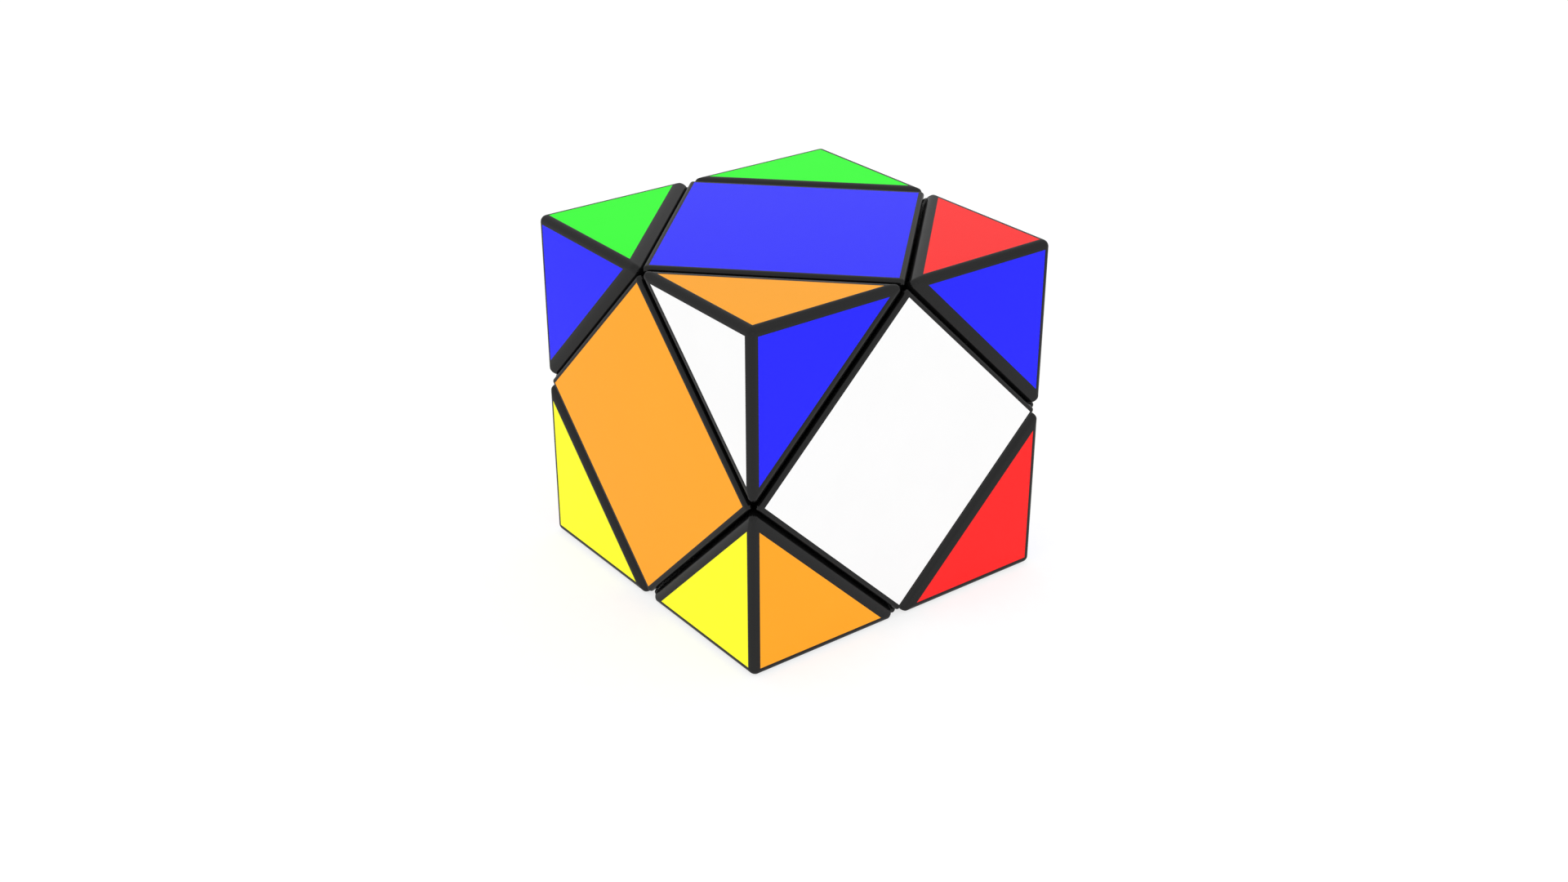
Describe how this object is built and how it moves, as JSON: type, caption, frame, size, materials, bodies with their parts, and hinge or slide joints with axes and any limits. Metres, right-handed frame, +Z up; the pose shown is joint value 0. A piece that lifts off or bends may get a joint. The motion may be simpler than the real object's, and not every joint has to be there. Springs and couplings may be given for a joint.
{
  "type": "cube twisty puzzle",
  "caption": "Cube-shaped corner-turning twisty puzzle in black plastic with coloured inlaid stickers; its layers turn on core arms, and corner caps pull off over tension screws.",
  "frame": {"origin": "centre of the cube, where the four cut planes and the core arms meet", "axes": "+Z up through the top centre, +X through the right centre, -Y through the front centre"},
  "size_m": [0.055, 0.055, 0.055],
  "materials": {
    "shell_plastic": "satin",
    "core_plastic": "matte",
    "spring_steel": "bright",
    "screw_steel": "bright",
    "sticker_orange": "satin vinyl",
    "sticker_blue": "satin vinyl",
    "sticker_white": "satin vinyl",
    "sticker_yellow": "satin vinyl",
    "sticker_red": "satin vinyl",
    "sticker_green": "satin vinyl"
  },
  "bodies": {
    "resting_half": {"centre_back_body": "shell_plastic", "centre_back_cap": "shell_plastic", "centre_bottom_body": "shell_plastic", "centre_bottom_cap": "shell_plastic", "centre_left_body": "shell_plastic", "centre_left_cap": "shell_plastic", "core": "core_plastic", "corner_dbl_body": "shell_plastic", "corner_dbl_cap": "shell_plastic", "corner_dbr_body": "shell_plastic", "corner_dfl_body": "shell_plastic", "corner_ubl_body": "shell_plastic", "springs": "spring_steel", "stickers_resting_green": "sticker_green", "stickers_resting_red": "sticker_red", "stickers_resting_yellow": "sticker_yellow", "washers": "screw_steel"},
    "turning_half": {"centre_front_body": "shell_plastic", "centre_front_cap": "shell_plastic", "centre_right_body": "shell_plastic", "centre_right_cap": "shell_plastic", "centre_top_body": "shell_plastic", "centre_top_cap": "shell_plastic", "corner_dfr_body": "shell_plastic", "corner_dfr_cap": "shell_plastic", "corner_ubr_body": "shell_plastic", "corner_ubr_cap": "shell_plastic", "corner_ufl_body": "shell_plastic", "corner_ufl_cap": "shell_plastic", "corner_ufr_body": "shell_plastic", "stickers_turning_blue": "sticker_blue", "stickers_turning_green": "sticker_green", "stickers_turning_orange": "sticker_orange", "stickers_turning_red": "sticker_red", "stickers_turning_white": "sticker_white", "stickers_turning_yellow": "sticker_yellow"},
    "ufr_cap": {"corner_ufr_cap": "shell_plastic", "sticker_ufr_front_white": "sticker_white", "sticker_ufr_right_blue": "sticker_blue", "sticker_ufr_top_orange": "sticker_orange"},
    "ufr_screw": {"screw_ufr": "screw_steel"},
    "ubl_cap": {"corner_ubl_cap": "shell_plastic", "sticker_ubl_back_yellow": "sticker_yellow", "sticker_ubl_left_orange": "sticker_orange", "sticker_ubl_top_green": "sticker_green"},
    "ubl_screw": {"screw_ubl": "screw_steel"},
    "dfl_cap": {"corner_dfl_cap": "shell_plastic", "sticker_dfl_bottom_white": "sticker_white", "sticker_dfl_front_yellow": "sticker_yellow", "sticker_dfl_left_red": "sticker_red"},
    "dfl_screw": {"screw_dfl": "screw_steel"},
    "dbr_cap": {"corner_dbr_cap": "shell_plastic", "sticker_dbr_back_blue": "sticker_blue", "sticker_dbr_bottom_green": "sticker_green", "sticker_dbr_right_red": "sticker_red"},
    "dbr_screw": {"screw_dbr": "screw_steel"}
  },
  "joints": [
    {"name": "half_turn", "type": "hinge", "parent": "resting_half", "child": "turning_half", "pos_m": [0, 0, 0], "axis": [0.5774, -0.5774, 0.5774], "continuous": true},
    {"name": "ufr_cap_pull", "type": "slide", "parent": "turning_half", "child": "ufr_cap", "axis": [0.5774, -0.5774, 0.5774], "range_m": [0, 0.012]},
    {"name": "ubl_cap_pull", "type": "slide", "parent": "resting_half", "child": "ubl_cap", "axis": [-0.5774, 0.5774, 0.5774], "range_m": [0, 0.012]},
    {"name": "dfl_cap_pull", "type": "slide", "parent": "resting_half", "child": "dfl_cap", "axis": [-0.5774, -0.5774, -0.5774], "range_m": [0, 0.012]},
    {"name": "dbr_cap_pull", "type": "slide", "parent": "resting_half", "child": "dbr_cap", "axis": [0.5774, 0.5774, -0.5774], "range_m": [0, 0.012]},
    {"name": "ufr_screw_turn", "type": "hinge", "parent": "resting_half", "child": "ufr_screw", "pos_m": [0, 0, 0], "axis": [0.5774, -0.5774, 0.5774], "range_deg": [-180, 180]},
    {"name": "ubl_screw_turn", "type": "hinge", "parent": "resting_half", "child": "ubl_screw", "pos_m": [0, 0, 0], "axis": [-0.5774, 0.5774, 0.5774], "range_deg": [-180, 180]},
    {"name": "dfl_screw_turn", "type": "hinge", "parent": "resting_half", "child": "dfl_screw", "pos_m": [0, 0, 0], "axis": [-0.5774, -0.5774, -0.5774], "range_deg": [-180, 180]},
    {"name": "dbr_screw_turn", "type": "hinge", "parent": "resting_half", "child": "dbr_screw", "pos_m": [0, 0, 0], "axis": [0.5774, 0.5774, -0.5774], "range_deg": [-180, 180]}
  ]
}
